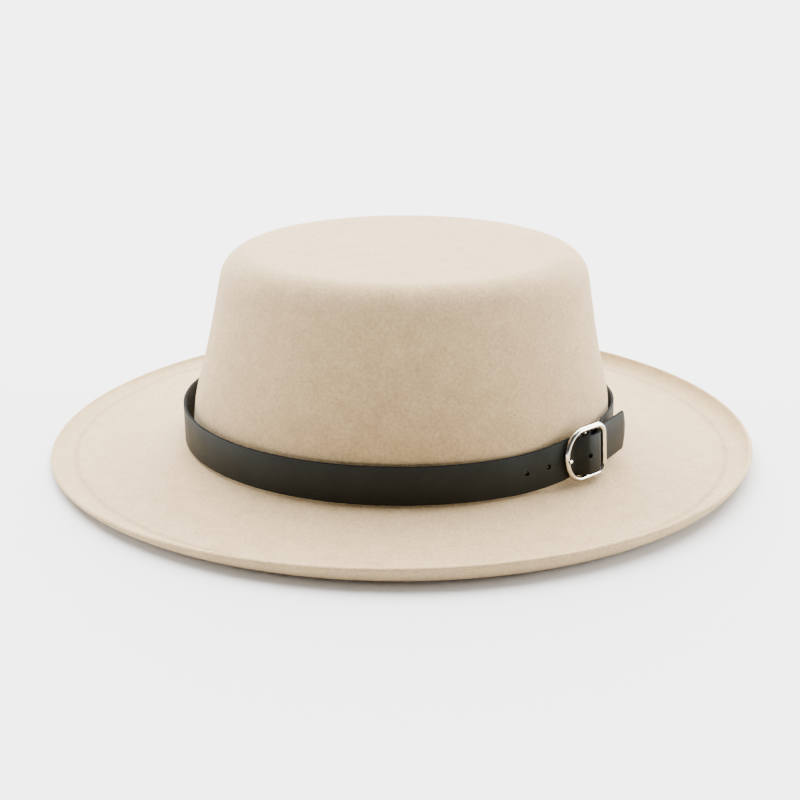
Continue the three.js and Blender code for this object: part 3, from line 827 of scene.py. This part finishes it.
# Prong
# A flattened nickel wire. Its eye turns on the bar inside the fold's slot, its shank lies under
# the strap, and its tip comes up through a hole and lies on the round end of the frame.
# The eye's turns round the bar, in degrees
EYE_TURNS = range(170, -91, -20)
# The shank, as (share of the way to the hole, share of its depth)
SHANK = ((0.35, 0.8), (0.6, 1), (0.86, 1))
# The tip over the frame's round end, as (inwards, outwards) in shares of its level
TIP = ((0.7, 0.8), (0, 1), (-0.3, 1))
eye_radius = BAR_RADIUS + GAP + PRONG_RADIUS
shank_level = rim_level - BAND_THICKNESS / 2 - GAP - PRONG_RADIUS
tip_level = RIM_RADIUS + GAP + PRONG_RADIUS
wire = []
for angle in EYE_TURNS:
    turn = math.radians(angle)
    wire.append((eye_radius * math.cos(turn), eye_radius * math.sin(turn)))
for reach, depth in SHANK:
    wire.append((reach * prong_hole_along, depth * shank_level))
wire.append((prong_hole_along, rim_level))
wire.append((prong_hole_along - 0.15 * HOLE_RADIUS, 0))
for back, lift in TIP:
    wire.append((-frame_half + back * tip_level, lift * tip_level))
bpy.ops.object.select_all(action="DESELECT")
bpy.ops.curve.primitive_bezier_curve_add()
prong = bpy.context.object
prong.name = "prong_wire"
spline = prong.data.splines[0]
spline.bezier_points.add(len(wire) - 2)
sink = band_level(at_buckle(prong_hole_along, rim_level)) - buckle_height
wire_scale = PRONG_HALF_WIDTH / PRONG_RADIUS
for point, (along, out) in zip(spline.bezier_points, wire):
    spot = at_buckle(along, out)
    share = min(1, max(0, along / prong_hole_along))
    point.co = Vector((spot.x, spot.y, buckle_height + sink * share * share / wire_scale)) * MM
    point.handle_left_type = "AUTO"
    point.handle_right_type = "AUTO"
prong.location = (0, 0, 0)
prong.data.resolution_u = 8
prong.data.bevel_depth = PRONG_RADIUS * MM
prong.data.bevel_resolution = 4
prong.data.use_fill_caps = True
bpy.ops.object.convert(target="MESH")
prong = bpy.context.object
edit_with(prong, lambda v: True)
bpy.ops.transform.resize(
    value=(1, 1, wire_scale), center_override=(0, 0, buckle_height * MM)
)
bpy.ops.object.mode_set(mode="OBJECT")
lean_in(prong)
bpy.ops.object.shade_smooth_by_angle(angle=math.radians(40))
prong.data.materials.append(nickel)
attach(prong, "root")
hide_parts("prong")

# Floor and light
# A plain pale floor under a wide soft light from above, with softer light from both sides.
bpy.ops.object.select_all(action="DESELECT")
bpy.ops.mesh.primitive_plane_add(size=40)
floor = bpy.context.object
floor.name = "floor"
paper = bpy.data.materials.new("white_paper")
paper.use_nodes = True
paper.node_tree.nodes["Principled BSDF"].inputs["Base Color"].default_value = (0.66, 0.66, 0.66, 1)
paper.node_tree.nodes["Principled BSDF"].inputs["Roughness"].default_value = 0.9
paper.node_tree.nodes["Principled BSDF"].inputs["Specular IOR Level"].default_value = 0.1
floor.data.materials.append(paper)

lights = [
    {"name": "above and behind", "strength": 29, "spread": 86, "back": 44, "side": 0},
    {"name": "left", "strength": 6.4, "spread": 46, "back": 8, "side": -80},
    {"name": "right", "strength": 8.8, "spread": 46, "back": 8, "side": 80},
]
for lamp in lights:
    bpy.ops.object.select_all(action="DESELECT")
    turn = (-math.radians(lamp["back"]), math.radians(lamp["side"]), 0)
    bpy.ops.object.light_add(type="SUN", rotation=turn)
    light = bpy.context.object
    light.name = "soft light " + lamp["name"]
    light.data.energy = lamp["strength"]
    light.data.angle = math.radians(lamp["spread"])

world = bpy.data.worlds.new("studio")
bpy.context.scene.world = world
world.use_nodes = True
world.node_tree.nodes["Background"].inputs["Color"].default_value = (1, 1, 1, 1)
world.node_tree.nodes["Background"].inputs["Strength"].default_value = 0.13
